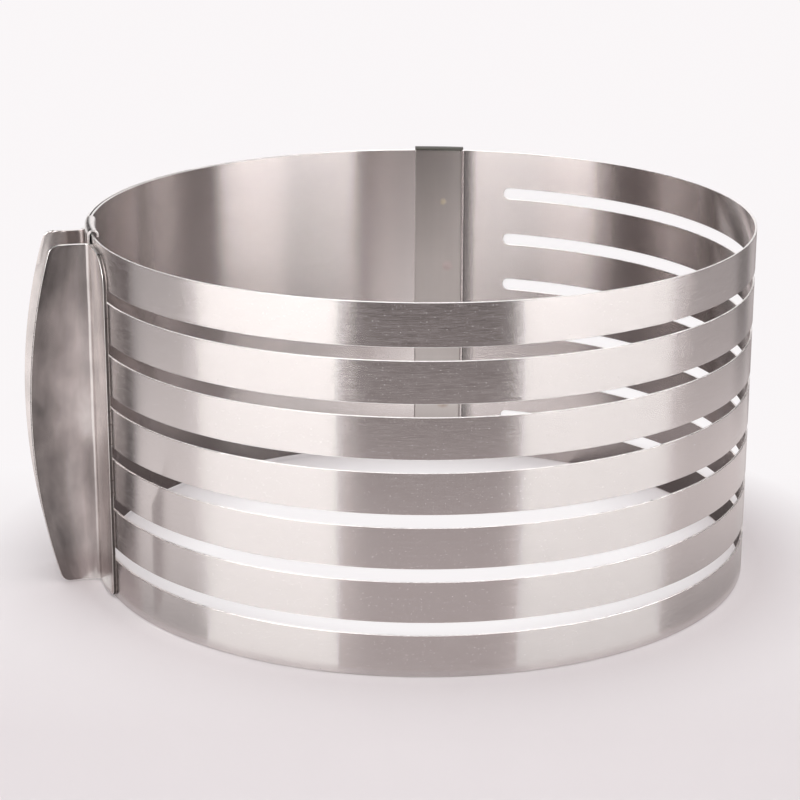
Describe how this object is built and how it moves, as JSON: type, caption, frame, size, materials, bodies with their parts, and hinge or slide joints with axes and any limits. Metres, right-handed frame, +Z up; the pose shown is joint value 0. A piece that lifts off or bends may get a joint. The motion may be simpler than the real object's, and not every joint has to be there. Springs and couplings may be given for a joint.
{
  "type": "adjustable layer cake slicing ring",
  "caption": "Adjustable slotted steel ring that guides a knife to cut a round cake into even layers, set by sliding its handles apart.",
  "frame": {"origin": "on the table under the middle of the object's bounding box, handles included, at the smallest setting", "axes": "+Z up along the ring's axis, handles at the -X side, the pictured front towards -Y"},
  "size_m": [0.1748, 0.1604, 0.0861],
  "materials": {
    "band": "fine hairlines round the ring",
    "handle": "softly polished satin",
    "keeper": "dull mill finish with spot welds"
  },
  "bodies": {
    "outer_end": {"band_outer_end": "band", "far_handle": "handle"},
    "lap_1": {"band_lap_1": "band"},
    "lap_2": {"band_lap_2": "band"},
    "lap_3": {"band_lap_3": "band"},
    "lap_4": {"band_lap_4": "band"},
    "lap_5": {"band_lap_5": "band"},
    "slot_start": {"band_slot_start": "band", "band_first_lands": "band"},
    "slotted_1": {"band_slotted_1": "band"},
    "slotted_2": {"band_slotted_2": "band"},
    "slotted_3": {"band_slotted_3": "band"},
    "slotted_4": {"band_slotted_4": "band"},
    "slotted_5": {"band_slotted_5": "band"},
    "slotted_6": {"band_slotted_6": "band"},
    "slotted_7": {"band_slotted_7": "band"},
    "slotted_8": {"band_slotted_8": "band"},
    "slotted_9": {"band_slotted_9": "band"},
    "slotted_10": {"band_slotted_10": "band"},
    "slotted_11": {"band_slotted_11": "band"},
    "handle_seat": {"band_last_lands": "band", "band_handle_seat": "band", "near_handle": "handle"},
    "tongue_1": {"band_tongue_1": "band"},
    "tongue_2": {"band_tongue_2": "band"},
    "tongue_3": {"band_tongue_3": "band"},
    "tongue_4": {"band_tongue_4": "band"},
    "tongue_5": {"band_tongue_5": "band"},
    "tongue_tip": {"band_tongue_tip": "band", "keeper": "keeper"}
  },
  "joints": [
    {"name": "flex_1", "type": "hinge", "parent": "lap_1", "child": "outer_end", "pos_m": [-0.07202, 0.00507, 0], "axis": [0, 0, -1], "range_deg": [0, 4.03]},
    {"name": "flex_2", "type": "hinge", "parent": "lap_2", "child": "lap_1", "pos_m": [-0.0659, 0.03094, 0], "axis": [0, 0, -1], "range_deg": [0, 4.03]},
    {"name": "flex_3", "type": "hinge", "parent": "lap_3", "child": "lap_2", "pos_m": [-0.05166, 0.05336, 0], "axis": [0, 0, -1], "range_deg": [0, 4.03]},
    {"name": "flex_4", "type": "hinge", "parent": "lap_4", "child": "lap_3", "pos_m": [-0.03086, 0.06987, 0], "axis": [0, 0, -1], "range_deg": [0, 4.03]},
    {"name": "flex_5", "type": "hinge", "parent": "lap_5", "child": "lap_4", "pos_m": [-0.00582, 0.07864, 0], "axis": [0, 0, -1], "range_deg": [0, 4.03]},
    {"name": "flex_6", "type": "hinge", "parent": "slot_start", "child": "lap_5", "pos_m": [0.0207, 0.07873, 0], "axis": [0, 0, -1], "range_deg": [0, 4.03]},
    {"name": "flex_7", "type": "hinge", "parent": "slotted_1", "child": "slot_start", "pos_m": [0.04577, 0.07012, 0], "axis": [0, 0, -1], "range_deg": [0, 4.03]},
    {"name": "flex_8", "type": "hinge", "parent": "slotted_2", "child": "slotted_1", "pos_m": [0.06662, 0.05378, 0], "axis": [0, 0, -1], "range_deg": [0, 4.03]},
    {"name": "flex_9", "type": "hinge", "parent": "slotted_3", "child": "slotted_2", "pos_m": [0.08096, 0.03152, 0], "axis": [0, 0, -1], "range_deg": [0, 4.03]},
    {"name": "flex_10", "type": "hinge", "parent": "slotted_4", "child": "slotted_3", "pos_m": [0.08721, 0.00581, 0], "axis": [0, 0, -1], "range_deg": [0, 4.03]},
    {"name": "flex_11", "type": "hinge", "parent": "slotted_5", "child": "slotted_4", "pos_m": [0.08468, -0.02052, 0], "axis": [0, 0, -1], "range_deg": [0, 4.03]},
    {"name": "flex_12", "type": "hinge", "parent": "slotted_6", "child": "slotted_5", "pos_m": [0.07367, -0.04455, 0], "axis": [0, 0, -1], "range_deg": [0, 4.03]},
    {"name": "ring_size", "type": "hinge", "parent": "slotted_6", "child": "slotted_7", "pos_m": [0.05541, -0.06363, 0], "axis": [0, 0, 1], "range_deg": [0, 3.68]},
    {"name": "flex_14", "type": "hinge", "parent": "slotted_7", "child": "slotted_8", "pos_m": [0.03191, -0.07567, 0], "axis": [0, 0, 1], "range_deg": [0, 4.03]},
    {"name": "flex_15", "type": "hinge", "parent": "slotted_8", "child": "slotted_9", "pos_m": [0.00578, -0.07934, 0], "axis": [0, 0, 1], "range_deg": [0, 4.03]},
    {"name": "flex_16", "type": "hinge", "parent": "slotted_9", "child": "slotted_10", "pos_m": [-0.02009, -0.07425, 0], "axis": [0, 0, 1], "range_deg": [0, 4.03]},
    {"name": "flex_17", "type": "hinge", "parent": "slotted_10", "child": "slotted_11", "pos_m": [-0.04286, -0.06096, 0], "axis": [0, 0, 1], "range_deg": [0, 4.03]},
    {"name": "flex_18", "type": "hinge", "parent": "slotted_11", "child": "handle_seat", "pos_m": [-0.06, -0.04096, 0], "axis": [0, 0, 1], "range_deg": [0, 4.03]},
    {"name": "flex_19", "type": "hinge", "parent": "handle_seat", "child": "tongue_1", "pos_m": [-0.06963, -0.01646, 0], "axis": [0, 0, 1], "range_deg": [0, 3.94]},
    {"name": "flex_20", "type": "hinge", "parent": "tongue_1", "child": "tongue_2", "pos_m": [-0.07085, 0.00862, 0], "axis": [0, 0, 1], "range_deg": [0, 3.88]},
    {"name": "flex_21", "type": "hinge", "parent": "tongue_2", "child": "tongue_3", "pos_m": [-0.06415, 0.0328, 0], "axis": [0, 0, 1], "range_deg": [0, 3.88]},
    {"name": "flex_22", "type": "hinge", "parent": "tongue_3", "child": "tongue_4", "pos_m": [-0.05023, 0.05366, 0], "axis": [0, 0, 1], "range_deg": [0, 3.88]},
    {"name": "flex_23", "type": "hinge", "parent": "tongue_4", "child": "tongue_5", "pos_m": [-0.03048, 0.06911, 0], "axis": [0, 0, 1], "range_deg": [0, 3.88]},
    {"name": "flex_24", "type": "hinge", "parent": "tongue_5", "child": "tongue_tip", "pos_m": [-0.00691, 0.07758, 0], "axis": [0, 0, 1], "range_deg": [0, 3.88]}
  ],
  "couplings": [
    {"joint": "flex_1", "follows": "ring_size", "ratio": 1},
    {"joint": "flex_2", "follows": "ring_size", "ratio": 1},
    {"joint": "flex_3", "follows": "ring_size", "ratio": 1},
    {"joint": "flex_4", "follows": "ring_size", "ratio": 1},
    {"joint": "flex_5", "follows": "ring_size", "ratio": 1},
    {"joint": "flex_6", "follows": "ring_size", "ratio": 1},
    {"joint": "flex_7", "follows": "ring_size", "ratio": 1},
    {"joint": "flex_8", "follows": "ring_size", "ratio": 1},
    {"joint": "flex_9", "follows": "ring_size", "ratio": 1},
    {"joint": "flex_10", "follows": "ring_size", "ratio": 1},
    {"joint": "flex_11", "follows": "ring_size", "ratio": 1},
    {"joint": "flex_12", "follows": "ring_size", "ratio": 1},
    {"joint": "flex_14", "follows": "ring_size", "ratio": 1},
    {"joint": "flex_15", "follows": "ring_size", "ratio": 1},
    {"joint": "flex_16", "follows": "ring_size", "ratio": 1},
    {"joint": "flex_17", "follows": "ring_size", "ratio": 1},
    {"joint": "flex_18", "follows": "ring_size", "ratio": 1},
    {"joint": "flex_19", "follows": "ring_size", "ratio": 0.97696},
    {"joint": "flex_20", "follows": "ring_size", "ratio": 0.96346},
    {"joint": "flex_21", "follows": "ring_size", "ratio": 0.96346},
    {"joint": "flex_22", "follows": "ring_size", "ratio": 0.96346},
    {"joint": "flex_23", "follows": "ring_size", "ratio": 0.96346},
    {"joint": "flex_24", "follows": "ring_size", "ratio": 0.96346}
  ]
}
